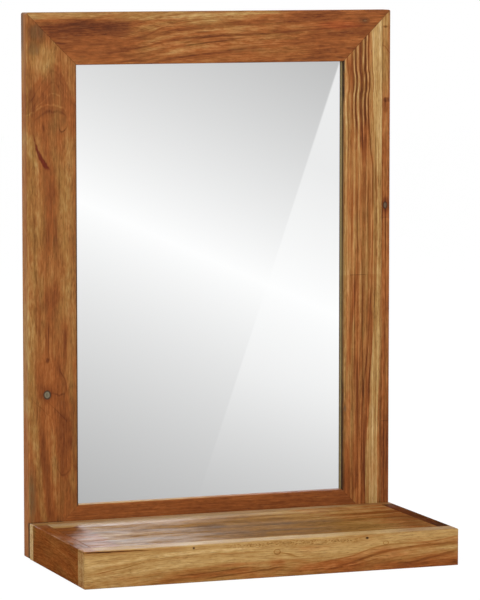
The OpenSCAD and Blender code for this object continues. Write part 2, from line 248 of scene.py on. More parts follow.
class Board(Recipe):
    """A piece of wood: its own length, width and thickness directions, in mm.

    Its colour comes from two fields: light, from dark late wood to pale sapwood, and warm,
    from golden olive to red brown. The marks of the grain change these two, and stain() turns
    them into the wood's colour. Each call of noise() draws its own pattern, in turn.
    The hardboard and the steel use its directions and its noise alone.
    """

    def __init__(self, name, along, across, depth, seed):
        super().__init__(name)
        metres = self.node("ShaderNodeTexCoord", None, None, "Object")
        self.along = self.part(metres, along) * 1000
        self.across = self.part(metres, across) * 1000
        self.depth = self.part(metres, depth) * 1000
        facing = self.node("ShaderNodeTexCoord", None, None, "Normal")
        self.facing_up = self.ramp(self.part(facing, "Z"), 0.6, 0.95)
        self.facing_side = self.ramp(abs(self.part(facing, "X")), 0.6, 0.95)
        self.sideways = self.part(metres, "X") * 1000
        self.wallward = self.part(metres, "Y") * 1000
        self.seed = seed
        self.draws = 0

    def noise(self, length, width, across=None, detail=2, roughness=0.5):
        """Noise from -0.5 to 0.5 whose spots are about length by width, in mm."""
        self.draws += 1
        shift = self.seed * 7.31 + self.draws * 3.17
        side = self.across if across is None else across
        parts = {
            0: self.along / length + shift,
            1: side / width + shift,
            2: self.depth / width - shift,
        }
        spot = self.node("ShaderNodeCombineXYZ", None, parts)
        sockets = {"Vector": spot, "Scale": 1, "Detail": detail, "Roughness": roughness}
        return self.node("ShaderNodeTexNoise", {"noise_dimensions": "3D"}, sockets) - 0.5

    def course(self, points, run=None):
        """The across position, mm, of a line drawn along the board through the points."""
        run = self.along if run is None else run
        runs = [point[0] for point in points]
        sides = [point[1] for point in points]
        start, length = min(runs), max(runs) - min(runs)
        low, height = min(sides), max(sides) - min(sides)
        if height < 0.01:
            return low
        curve = sorted(((place - start) / length, (side - low) / height) for place, side in points)
        sockets = {"Factor": 1, "Value": (run - start) / length}
        return self.node("ShaderNodeFloatCurve", {"curve": curve}, sockets) * height + low

    def stroke(self, run, side, half, points, soft, fade):
        """A mask for a line drawn through the points (run, side), broken up by the wood's flecks."""
        soft = half * 0.7 if soft is None else soft
        away = abs(side - self.course(points, run))
        line = self.ramp(away, half + soft, max(half - soft, 0))
        runs = [point[0] for point in points]
        starts = self.ramp(run, min(runs) - fade, min(runs) + fade)
        ends = self.ramp(run, max(runs) + fade, max(runs) - fade)
        return line * starts * ends * self.broken

    def streak(self, half, points):
        """A mask for a streak of the grain, drawn through points (along, across)."""
        return self.stroke(self.along, self.drawn, half, points, None, 12)

    def arch(self, half, points, soft, fade):
        """A mask for a line of the grain that crosses the board, through points (across, along)."""
        return self.stroke(self.drawn, self.risen, half, points, soft, fade)

    def under(self, points, soft=3):
        """A mask for what lies below a line that crosses the board."""
        return self.ramp(self.risen - self.course(points, self.drawn), soft, -soft)

    def oval(self, run, side, length, width, uneven=1.0):
        """How far out a point lies from an oval's middle, where its rim is at 1."""
        run = run / length
        side = side / width
        return (run * run + side * side).root() + self.wobble * uneven

    def patch(self, along, across, length, width, soft=0.5):
        """A mask for an oval patch: its middle, half its length and half its width."""
        away = self.oval(self.along - along, self.drawn - across, length, width)
        return self.ramp(away, 1 + soft, 1 - soft)

    def ring(self, along, across, length, width, half=0.16):
        """A mask for an oval line."""
        away = self.oval(self.along - along, self.drawn - across, length, width, 0.5)
        return self.ramp(abs(away - 1), half * 1.6, half * 0.4)

    def beyond(self, points, soft=1.5):
        """A mask for what lies on the far side of a line drawn along the board."""
        return self.ramp(self.drawn - self.course(points), -soft, soft)

    def grow(self, lines, light, warm, broad=9, narrow=3.4, ring=3.2, wander=3.0, bold=1.0, mottle=1.0):
        """The board's wood: bands of its growth rings, as they run along it, and its mottled figure.

        lines is what the rings follow across the board; broad, narrow and ring are widths in mm.
        """
        self.drawn = self.across + self.noise(70, 12) * 3 + self.noise(16, 6) * 1.2
        self.risen = self.along + self.noise(14, 9) * 7
        self.wobble = self.noise(14, 7) * 0.6
        lines = lines + self.noise(260, 45) * wander * 2 + self.noise(50, 9) * wander * 0.6
        fleck = self.noise(11, 2.6, None, 2, 0.6)
        self.broken = 1 + fleck * 1.8
        bands = self.noise(520, broad, lines, 2)
        middle = self.noise(170, narrow, lines, 2)
        thin = self.noise(90, narrow * 0.45, lines, 2)
        cloud = self.noise(60, 20, None, 2)
        rings = (lines / ring + bands * 2).fraction()
        late = self.ramp(rings, 0.5, 0.94) * self.ramp(rings, 1.0, 0.94)
        figure = bands * 0.55 + middle * 0.42 + thin * 0.36 - late * 0.06
        self.light = figure * bold + (fleck * 0.42 + cloud * 0.30) * mottle + light
        hue = self.noise(300, broad * 1.3, lines, 2) * bold + self.noise(45, 11, None, 2) * mottle
        self.warm = hue * 1.3 + warm

    def mark(self, mask, lighter, warmer=0):
        """Lightens and warms the wood where the mask is (or darkens and cools it)."""
        self.light = self.light + mask * lighter
        if warmer:
            self.warm = self.warm + mask * warmer

    def marks(self, rows, within=1):
        """Streaks of the grain: lighter, warmer, half width, points (along, across)."""
        for lighter, warmer, half, points in rows:
            self.mark(self.streak(half, points) * within, lighter, warmer)

    def arches(self, rows, soft=None, fade=3):
        """Lines of the grain that cross the board: lighter, warmer, half width, points (across, along)."""
        for lighter, warmer, half, points in rows:
            self.mark(self.arch(half, points, soft, fade), lighter, warmer)

    def patches(self, rows):
        """Oval patches: lighter, warmer, middle (along, across), half length, half width."""
        for lighter, warmer, along, across, length, width in rows:
            self.mark(self.patch(along, across, length, width), lighter, warmer)

    def stain(self):
        """The wood's colour from its two fields."""
        red = self.node("ShaderNodeValToRGB", {"stops": RED_WOOD}, {0: self.light})
        gold = self.node("ShaderNodeValToRGB", {"stops": GOLD_WOOD}, {0: self.light})
        self.colour = self.mix(self.ramp(self.warm, 0, 1), gold, red)

    def lay(self, mask, colour):
        """Lays another colour over the wood where the mask is."""
        self.colour = self.mix(mask, self.colour, colour)

    def tint(self, mask, colour):
        """Darkens by a colour where the mask is."""
        self.colour = self.mix(mask, self.colour, colour, "MULTIPLY")

    def knot(self, along, across, radius, heart, rim, tall):
        """A knot with a dark ring round its heart, in wood that it has reddened."""
        away = self.oval(self.along - along, self.across - across, radius * tall, radius, 0.5)
        self.tint(self.ramp(away, 3.4, 1.0) * 0.6, KNOT_BLUSH)
        self.lay(self.ramp(away, 1.5, 1.15), rim)
        self.lay(self.ramp(away, 1.05, 0.6), heart)

    def seam(self, away, half=0.2, strength=1.0):
        """A joint's thin dark line, where away is the distance from it."""
        self.tint(self.ramp(abs(away), half * 2.4, half * 0.6) * strength, SEAM_SHADE)

    def finish(self, rough=0.5, varnish=None, sheen=0.10, uneven=0.3):
        """Fibres and pores over the colour, and the satin finish; varnish is a coat on top faces."""
        fibre = self.noise(24, 0.9, None, 3, 0.7)
        pore = self.ramp(self.noise(8, 0.5, None, 1) + self.noise(60, 14) * 0.3, 0.16, 0.24)
        blotch = self.noise(30, 24, None, 2)
        self.tint(self.ramp(fibre, 0.04, -0.26) * 0.75, FIBRE_DARK)
        self.lay(self.ramp(fibre, 0.06, 0.34) * 0.22, FIBRE_PALE)
        self.tint(pore * 0.55, PORE_DARK)
        height = fibre * 0.4 - pore * 0.6 + blotch * uneven
        sockets = {"Strength": 0.5, "Distance": 0.00005, "Height": height}
        coat = {}
        if varnish:
            coat = {
                "Coat_Weight": self.facing_up * varnish,
                "Coat_Roughness": VARNISH_ROUGH,
                "Coat_IOR": VARNISH_IOR,
            }
        self.surface(
            Base_Color=self.colour,
            Roughness=rough + self.facing_side * 0.22 + fibre * 0.10 + pore * 0.12 + blotch * 0.12,
            Specular_IOR_Level=sheen,
            Normal=self.node("ShaderNodeBump", None, sockets),
            **coat,
        )
        return self.owner

    def top_varnish(self):
        """The shelf's varnish: thick along the back and the left, rubbed thin to the right and front."""
        blotches = self.noise(24, 7, None, 4, 0.7) + self.noise(90, 16, None, 2)
        thickness = [
            (-250, 0.52), (-190, 0.45), (-100, 0.33), (-20, 0.13), (60, 0.08), (180, 0.03), (250, 0.02),
        ]
        left = self.course(thickness, self.sideways)
        back = self.ramp(self.wallward, 45, 76, 1, 6)
        corner = self.ramp(self.sideways, -196, -208) * self.ramp(self.wallward, -15, 25)
        return (left * back * (1 - corner * 0.7) * (blotches * 2.8 + 1.0)).at_most(1)


# ---------------------------------------------------------------- the boards


def dress_corner(board, rise, run, strength=1.0, shade=0.8):
    """The mitre line at a member's ends, and the reveal down to the glass: painted shade, then olive.

    rise is how high a point lies and run how far it is to the side, in mm.
    """
    centre = FRAME_H / 2
    off_mitre = abs(rise - centre) - abs(run) - (centre - FRAME_HALF_W)
    board.seam(off_mitre / math.sqrt(2), 0.22, strength)
    inner_rise = GLASS_TOP_Z - centre + 0.7
    inner_run = GLASS_HALF_W + 0.7
    in_opening = board.ramp(abs(rise - centre), inner_rise, inner_rise - 0.6)
    in_opening = in_opening * board.ramp(abs(run), inner_run, inner_run - 0.6)
    # painted shade on the sight edge and down the reveal
    board.lay(in_opening * shade, RECESS_SHADE_BROWN)
    deep = board.ramp(board.depth, FRAME_FACE_Y + 3.4, FRAME_FACE_Y + 4.4)
    board.lay(in_opening * deep * shade, REVEAL_OLIVE)


def top_rail_wood():
    board = Board("wood_top_rail", "X", "Z", "Y", 1)
    sweep = board.course([
        (-250, 0), (-200, 0), (-150, 0), (-100, 8), (-50, 18), (0, 23), (100, 28), (200, 34), (250, 35),
    ])
    bold = board.ramp(board.along, -130, -60, 0.35, 0.8) * board.ramp(board.along, 60, 150, 1.0, 0.7)
    lines = board.across - sweep
    board.grow(lines, 0.495, 0.80, broad=7, narrow=3.0, ring=2.8, wander=2, bold=bold, mottle=1.1)
    top_gold = board.beyond([(-250, 692), (-110, 692), (-60, 695), (0, 697), (100, 700), (250, 704)], 0.8)
    board.mark(top_gold * board.ramp(board.along, 110, -60), 0.05, -0.5)
    board.mark(board.patch(-182, 678, 72, 10) * (1 - top_gold), -0.20, 0.3)
    board.patches([
        (-0.06, 0.3, -190, 655, 70, 20),
        (-0.04, 0.0, -110, 690, 70, 7),
        (-0.04, 0.0, 50, 667, 120, 7),
    ])
    board.marks([
        (0.10, -0.4, 1.8, [(-115, 690), (-60, 693), (0, 695), (95, 698)]),
        (0.05, -0.3, 4.5, [(-110, 676), (-60, 684), (-10, 690), (60, 692)]),
        (0.09, -0.3, 4.0, [(-90, 658), (-50, 668), (0, 674), (60, 679)]),
        (0.10, -0.3, 3.5, [(-60, 648), (0, 657), (60, 662), (140, 668)]),
        (-0.09, 0.2, 1.0, [(-210, 661), (-150, 659), (-100, 667), (-50, 684), (0, 690)]),
        (-0.09, 0.2, 1.4, [(-190, 650), (-150, 648), (-90, 656), (-40, 668), (60, 678)]),
        (-0.06, 0.1, 1.2, [(-140, 640), (-90, 648), (-50, 655), (0, 667), (100, 672), (200, 680)]),
        (-0.08, 0.2, 1.4, [(-60, 640), (0, 646), (80, 655), (180, 660)]),
        (-0.24, 0.0, 0.9, [(-40, 655), (0, 660), (40, 664)]),
        (-0.24, 0.0, 0.8, [(-120, 637), (-95, 638)]),
    ])
    board.mark(board.ramp(board.along, 90, 190), -0.06, 0.3)
    board.mark(board.patch(130, 692, 60, 8), -0.06, 0.2)
    board.mark(board.patch(196, 679, 22, 7), -0.02, 0.6)
    board.stain()
    board.tint(board.patch(-128, 678, 18, 11) * 0.5, COOL_PATCH)
    board.lay(board.patch(178, 681, 26, 5) * 0.35, PIN_KNOT_GLOW)
    board.lay(board.patch(213, 686, 4.6, 2.4, 0.7) * 0.9, PIN_KNOT)
    board.lay(board.ring(213, 686, 6.5, 3.6) * 0.4, PIN_KNOT)
    board.lay(board.patch(214, 686, 2.2, 0.9) * 0.5, PIN_KNOT_HEART)
    dress_corner(board, board.across, board.along, 0.6)
    return board.finish()


def bottom_rail_wood():
    board = Board("wood_bottom_rail", "X", "Z", "Y", 2)
    board.grow(board.across, 0.42, 1.1, broad=12, narrow=4, ring=4, wander=2, bold=0.5, mottle=0.7)
    # painted light: the up-facing inner edge lighter and more golden, strongest to the left
    board.mark(board.facing_up * board.ramp(board.along, 140, -80), 0.2, -0.9)
    board.stain()
    dress_corner(board, board.across, board.along, 0.2, 0)
    return board.finish()


def arch_left_stile(board):
    """The arched figure high on the left stile: its heart, and the lines round it."""
    heart = board.under([
        (-252, 594), (-240, 608), (-228, 622), (-220, 632), (-214, 636),
        (-207, 630), (-200, 617), (-192, 601), (-182, 578),
    ])
    board.mark(heart * board.ramp(board.along, 540, 590), -0.06, 0.2)
    board.arches([
        (-0.07, 0.0, 1.4, [(-246, 586), (-236, 600), (-226, 615), (-214, 625), (-204, 612), (-194, 592)]),
        (-0.06, 0.0, 1.2, [(-242, 580), (-232, 592), (-224, 603), (-214, 611), (-205, 600), (-197, 584)]),
        (0.06, -0.2, 1.0, [(-238, 578), (-228, 588), (-214, 597), (-203, 586)]),
    ])
    board.patches([
        (-0.15, -0.1, 674, -236, 14, 13),
        (-0.09, -0.1, 654, -239, 12, 8),
        (0.07, -0.3, 640, -226, 22, 16),
    ])
    board.arches([
        (0.08, -0.2, 1.4, [(-250, 570), (-240, 574), (-228, 581), (-216, 583), (-206, 581), (-197, 574)]),
    ])
    board.arches([
        (-0.12, 0.0, 1.5, [(-238, 564), (-228, 571), (-218, 574), (-208, 574.5), (-200, 571), (-196, 565)]),
    ], soft=1.5)
    board.mark(board.patch(560, -208, 12, 13), -0.07, -0.2)
    board.arches([
        (-0.20, 0.0, 0.9, [(-207, 558), (-205, 551), (-201, 549.5), (-197, 553), (-195, 559)]),
    ], fade=1.5)


def streak_left_stile(board):
    """The left stile's bands and thin lines, and the wood round its knot."""
    board.marks([
        (0.03, -0.30, 7.5, [(190, -251), (250, -249), (300, -246), (400, -242), (500, -242), (545, -248)]),
        (0.08, -0.20, 2.5, [(420, -236), (480, -236), (515, -240)]),
        (0.03, -0.25, 9.0, [(300, -193), (380, -197), (450, -199), (540, -196)]),
        (-0.07, 0.35, 7.5, [(395, -217), (450, -219), (510, -225)]),
        (-0.14, 0.30, 0.9, [(405, -211), (440, -212)]),
        (-0.12, 0.20, 1.0, [(412, -221), (432, -221.5)]),
        (-0.12, 0.20, 0.9, [(440, -218), (470, -219)]),
        (-0.09, 0.10, 0.8, [(370, -240.5), (425, -240.5)]),
        (-0.07, 0.00, 0.7, [(440, -246), (495, -245.5)]),
        (-0.10, 0.00, 0.8, [(330, -233), (350, -236), (368, -239.5)]),
        (-0.10, 0.20, 0.9, [(268, -226.5), (302, -226)]),
        (-0.18, 0.20, 1.0, [(262, -223), (305, -222.3)]),
        (-0.10, 0.20, 0.9, [(262, -217.5), (300, -217)]),
        (-0.10, 0.30, 1.8, [(255, -201), (300, -199)]),
        (-0.08, 0.20, 1.0, [(275, -235), (325, -233)]),
        (-0.13, 0.10, 0.8, [
            (213, -200.5), (219, -199), (226, -199.6), (234, -203), (244, -208), (252, -209),
        ]),
        (-0.12, 0.20, 0.8, [(178, -200), (190, -211), (203, -225)]),
        (-0.09, 0.20, 0.8, [(183, -220), (191, -229), (201, -239)]),
        (0.03, -0.25, 4.8, [(46, -228), (60, -231), (110, -236), (150, -241), (205, -249)]),
        (-0.11, 0.35, 4.2, [(46, -218.5), (90, -224), (130, -228), (165, -231)]),
        (0.04, -0.25, 2.6, [(60, -211), (110, -215), (170, -219)]),
    ])
    board.arches([
        (-0.13, 0.0, 1.0, [(-219, 213), (-212, 212.5), (-205, 211.5), (-201, 214)]),
        (-0.10, 0.0, 1.3, [(-213, 121), (-209, 112), (-203, 107), (-197, 110), (-192, 121)]),
    ])
    board.patches([
        (-0.07, 0.3, 338, -217, 15, 10),
        (-0.04, 0.55, 232, -221, 26, 19),
        (-0.24, 0.2, 256, -223.5, 3.4, 2.4),
        (-0.03, 0.4, 190, -214, 24, 22),
    ])
    board.mark(board.ramp(board.along, 200, 80), -0.04, 0.1)
    board.mark(board.patch(148, -201, 38, 11), -0.07, 0.35)
    board.mark(board.patch(100, -190, 14, 4), 0.06, -0.3)
    # painted highlight: lighter and more golden along the outer left arris, running onto the side face
    board.mark(board.ramp(board.across, 2.2 - FRAME_HALF_W, 1.2 - FRAME_HALF_W), 0.10, -0.2)
    board.mark(board.facing_side, 0.05, 0.4)
    board.mark(board.patch(545, -237, 40, 10), -0.05)
    board.mark(board.patch(400, -237, 90, 10), -0.05)


def stain_left_stile(board):
    """The left stile's speckled corners, its red stain, painted shade on its inner edge, a grey band at the
    back of its side face, and its knot.
    """
    speckle = board.broken * 0.42
    board.lay(board.patch(675, -236, 9, 9) * speckle, SPECKLE_OLIVE)
    board.lay(board.patch(654, -239, 8, 7) * speckle, SPECKLE_BROWN)
    foot = board.patch(80, -246, 34, 4.6, 0.8) * (1 - board.facing_side)
    board.lay(foot * speckle * 1.3, SPECKLE_GREY)
    line = board.course([(500, -222), (508, -226.5), (520, -233), (532, -237.5), (550, -241.5)])
    width = board.ramp(board.along, 546, 509, 0.3, 3.2) + board.noise(9, 2.4) * 4
    red = board.ramp(abs(board.drawn - line) - width, 0.9, -0.9) * board.ramp(board.along, 498, 504)
    board.lay(red * board.ramp(board.along, 554, 544) * 0.92, STAIN_RED)
    board.lay(board.patch(523, -224.5, 4.5, 1.6) * 0.4, STAIN_RED)
    # painted shade on the rounded inner edge by the glass, which turns away from the light
    inner_edge = board.ramp(board.across, -GLASS_HALF_W - 2.6, -GLASS_HALF_W - 1.8)
    board.lay(inner_edge * board.ramp(board.along, 620, 420, 0.35, 0.8), INNER_ARRIS_SHADE)
    behind = board.ramp(board.depth, FRAME_FACE_Y + 8, FRAME_FACE_Y + 14)
    behind = behind * board.ramp(board.along, GLASS_TOP_Z + 3, GLASS_TOP_Z + 31)
    board.lay(behind * board.facing_side * 0.6, BACK_EDGE_GREY)
    board.knot(211.5, -224.5, 4.1, KNOT_GREY, KNOT_RIM, 1.1)
    board.tint(board.patch(211.5, -224.5, 3, 3) * board.broken.at_most(1.4) * 0.5, KNOT_HAZE)


def left_stile_wood():
    board = Board("wood_left_stile", "Z", "X", "Y", 3)
    board.grow(board.across, 0.488, 0.62, broad=8, narrow=2.4, ring=3.4, wander=3, bold=0.46, mottle=1.0)
    arch_left_stile(board)
    streak_left_stile(board)
    board.stain()
    stain_left_stile(board)
    dress_corner(board, board.along, board.across, board.ramp(board.along, 300, 500, 0.2, 0.6))
    # painted shade in the groove where the stile meets the shelf's back board
    groove = board.ramp(board.depth, FRAME_FACE_Y + 3.5, FRAME_FACE_Y + 1.5)
    groove = groove * board.ramp(board.along, SHELF_TOP_Z + 1, SHELF_TOP_Z - 1)
    board.lay(groove * 0.85, RECESS_SHADE_BROWN)
    return board.finish()


SPLICE_Z = 352
SPLICE_X = 194


def streak_upper_length(board, within):
    """The ripples and thin lines of the right stile above its splice."""
    board.marks([
        (0.10, -0.1, 2.4, [(100, 185), (300, 185.5), (500, 185.5), (640, 184.5)]),
        (-0.12, 0.4, 1.8, [(596, 193), (630, 193)]),
        (-0.22, 0.2, 1.0, [(550, 196.4), (600, 196), (645, 195.8)]),
        (0.10, -0.2, 1.0, [(520, 198.8), (650, 198.6)]),
        (-0.32, 0.2, 1.3, [(540, 201.4), (600, 201), (660, 201)]),
        (0.14, -0.2, 0.9, [(520, 204.2), (660, 204)]),
        (-0.36, 0.2, 2.1, [(520, 209), (560, 208.4), (690, 208)]),
        (0.22, -0.2, 0.8, [(530, 211.8), (690, 211.4)]),
        (-0.34, 0.2, 1.4, [(550, 215), (690, 214.4)]),
        (0.16, -0.2, 0.8, [(560, 217.2), (690, 216.8)]),
        (-0.18, 0.2, 0.9, [(360, 191), (480, 190.5), (600, 190), (640, 189)]),
        (-0.28, 0.2, 0.9, [(500, 224), (530, 221), (555, 219.4), (690, 219.4)]),
        (-0.22, 0.2, 1.2, [(440, 226), (500, 225)]),
        (-0.06, 0.5, 4.0, [(505, 213), (545, 213)]),
        (-0.16, 0.2, 0.9, [(430, 197), (460, 197), (485, 197)]),
        (-0.14, 0.1, 0.9, [(400, 196.5), (430, 197)]),
        (-0.14, 0.1, 1.0, [(380, 204.5), (450, 204.5), (500, 204)]),
        (-0.10, 0.1, 0.9, [(370, 209), (430, 208.5), (500, 208)]),
        (-0.10, 0.1, 0.9, [(360, 221), (420, 220.5), (480, 220)]),
        (0.12, -0.3, 2.4, [(365, 233), (440, 233), (500, 233)]),
        (-0.12, 0.4, 0.9, [(360, 224.5), (420, 226)]),
    ], within)


def streak_lower_length(board, lower):
    """The right stile's wood below its splice: a little darker, and with its own lines."""
    board.mark(lower, -0.03, 0.1)
    board.mark(lower * board.ramp(board.along, 240, 90), -0.04, 0.2)
    board.marks([
        (-0.10, 0.5, 2.4, [(235, 192), (283, 195), (316, 199), (345, 202)]),
        (-0.20, 0.2, 0.9, [
            (98, 210), (150, 211), (176, 212), (216, 215), (243, 217.7), (276, 220), (330, 223),
        ]),
        (-0.16, 0.2, 0.8, [(183, 219.8), (227, 222.7), (265, 225)]),
        (-0.12, 0.1, 0.9, [(200, 206), (260, 209), (340, 212)]),
        (-0.18, 0.3, 1.8, [(70, 204), (120, 204.5), (170, 204.5), (240, 203)]),
        (0.08, 0.1, 1.6, [(60, 209), (100, 209.5), (200, 210)]),
        (0.08, 0.4, 2.0, [(140, 193.5), (195, 193)]),
        (-0.09, 0.5, 3.0, [(50, 191), (80, 190.5), (125, 190)]),
        (-0.14, 0.2, 1.8, [(60, 214), (120, 214.5), (160, 216)]),
        (-0.10, 0.1, 0.8, [(210, 190), (250, 190), (330, 190)]),
    ], lower)


def pale_sapwood(board, upper):
    """The pale bands beside the right stile's edge strip, above the splice and below it."""
    left = board.course([(480, 229), (510, 229), (560, 227), (600, 225), (672, 224), (690, 223.5)])
    sap = board.ramp(board.drawn - left, -0.8, 0.8) * board.ramp(board.along, 470, 520) * upper
    board.mark(sap, 0.20, -0.7)
    left = board.course([
        (46, 216.5), (127, 217), (161, 221), (203, 222.7), (238, 225), (298, 228.5), (360, 231),
    ])
    right = board.course([(46, 232.7), (180, 234.3), (240, 236.4), (370, 236.4)])
    sap = board.ramp(board.drawn - left, -0.8, 0.8) * board.ramp(board.drawn - right, 0.5, -0.5)
    board.mark(sap * board.ramp(board.along, SPLICE_Z + 20, SPLICE_Z), 0.18, -0.7)


def right_stile_wood():
    """The wide strip of the right stile, whose wood changes at a splice half way up."""
    board = Board("wood_right_stile", "Z", "X", "Y", 4)
    ripple = board.course([
        (0, 0), (500, 0), (545, 0.6), (575, -0.4), (592, 0.2),
        (605, 1.5), (620, 0.1), (650, -0.4), (700, 0),
    ])
    bold = board.ramp(board.along, 520, 580, 1.5, 0.9)
    lines = board.across - ripple
    board.grow(lines, 0.56, 0.50, broad=4, narrow=1.7, ring=2.6, wander=2, bold=bold, mottle=0.8)
    board.drawn = board.drawn - ripple
    upper = board.ramp(board.along, SPLICE_Z - 0.6, SPLICE_Z + 0.6)
    lower = 1 - upper
    joined = board.ramp(board.across, SPLICE_X - 0.4, SPLICE_X + 0.4) * board.ramp(board.across, 219, 213)
    streak_upper_length(board, upper.at_least(1 - joined))
    streak_lower_length(board, lower)
    pale_sapwood(board, upper)
    board.stain()
    board.lay(board.patch(175, 187, 4, 2) * 0.5, STAIN_GREY)
    # painted shade along the inner edge by the glass, strongest high up and near the foot
    inner_edge = board.ramp(board.across, GLASS_HALF_W + 2.6, GLASS_HALF_W + 1.6)
    shade_foot = board.ramp(board.along, 240, 200, 0, 0.8)
    shade_reach = board.ramp(board.along, 570, 592, 0.5, 0.95).at_least(shade_foot)
    board.lay(inner_edge * shade_reach * board.broken.at_most(1), SIGHT_EDGE_SHADE)
    board.seam(board.along - SPLICE_Z, 0.25, joined * 0.6)
    below_splice = board.ramp(board.along, SPLICE_Z + 4, SPLICE_Z) * board.ramp(board.along, 325, 350)
    board.seam(board.across - SPLICE_X, 0.2, below_splice * 0.4)
    dress_corner(board, board.along, board.across, board.ramp(board.along, 300, 500, 0.2, 0.6))
    return board.finish()


def edge_strip_wood():
    board = Board("wood_edge_strip", "Z", "X", "Y", 5)
    lower_joint_z = 156
    upper_joint_z = 427
    board.grow(board.across, 0.53, 0.80, broad=4, narrow=1.8, ring=2.4, wander=1.4)
    board.mark(board.ramp(board.along, 570, 640), 0.04, -0.4)
    board.mark(board.ramp(board.along, 240, 90), -0.06, 0.4)
    board.patches([
        (-0.30, 0.2, 582, 244, 3, 4),
        (-0.18, 0.2, 573, 243, 7, 4),
        (-0.30, 0.1, 678, 242.5, 1.6, 3),
        (-0.12, 0.4, 440, 243, 13, 5),
    ])
    board.arches([
        (-0.12, 0.3, 1.0, [(238, 655), (244, 650), (250, 640)]),
    ])
    board.mark(board.ramp(board.along, lower_joint_z - 4, lower_joint_z + 4, 1, 0), -0.06, 0.4)
    board.marks([
        (-0.14, 0.0, 0.5, [(45, 243), (155, 242.6)]),
        (-0.14, 0.2, 0.6, [(375, 244), (428, 243.5)]),
        (-0.12, 0.2, 0.6, [(210, 243), (330, 243.5)]),
    ])
    # painted shade: darker along the outer right arris
    board.mark(board.ramp(board.across, FRAME_HALF_W - 1.4, FRAME_HALF_W - 0.4), -0.2)
    board.stain()
    board.knot(443, 243, 2.4, STAIN_GREY, KNOT_RIM_BROWN, 1.7)
    board.seam(board.along - lower_joint_z, 0.25, 0.6)
    board.seam(board.along - upper_joint_z, 0.2, 0.5)
    board.seam(board.across - STRIP_EDGE_X, 0.35, 0.8)
    return board.finish()


def shelf_top_wood():
    board = Board("wood_shelf_top", "X", "Y", "Z", 6)
    board.grow(board.across, 0.45, -0.45, broad=16, narrow=5, ring=6, wander=8, bold=0.8, mottle=1.4)
    wedge = board.ramp(board.across, 53, 54.5) * board.ramp(board.across - board.along * 1.2, 300, 303)
    board.mark(wedge, 0.18)
    board.mark((1 - wedge) * board.ramp(board.along, -180, -202), -0.06, 1.3)
    board.patches([
        (-0.18, -0.1, -40, 0, 24, 14),
        (-0.06, 0.0, -10, 6, 60, 12),
        (0.0, 0.4, 30, 35, 45, 20),
        (-0.12, 0.1, 20, -28, 100, 26),
        (0.12, 0.0, 100, 75, 45, 22),
    ])
    board.mark(board.ramp(board.along + board.across * 0.5, 90, 160), 0.10, 0.9)
    board.mark(board.ramp(board.along, 185, 215), -0.10, 0.1)
    board.mark(board.ramp(board.along, 165, 190) * board.ramp(board.across, 30, 60), 0.14)
    board.stain()
    # partly sapwood colour, partly a painted sheen: paler along the rear, strongest to the left
    board.lay(board.ramp(board.across, 58, 76) * board.ramp(board.along, 160, -60) * 0.42, SAPWOOD_AND_SHEEN_PALE)
    worn = board.patch(-60, 15, 90, 14) * 0.4
    return board.finish(varnish=board.top_varnish() * (1 - worn), sheen=0, uneven=5)


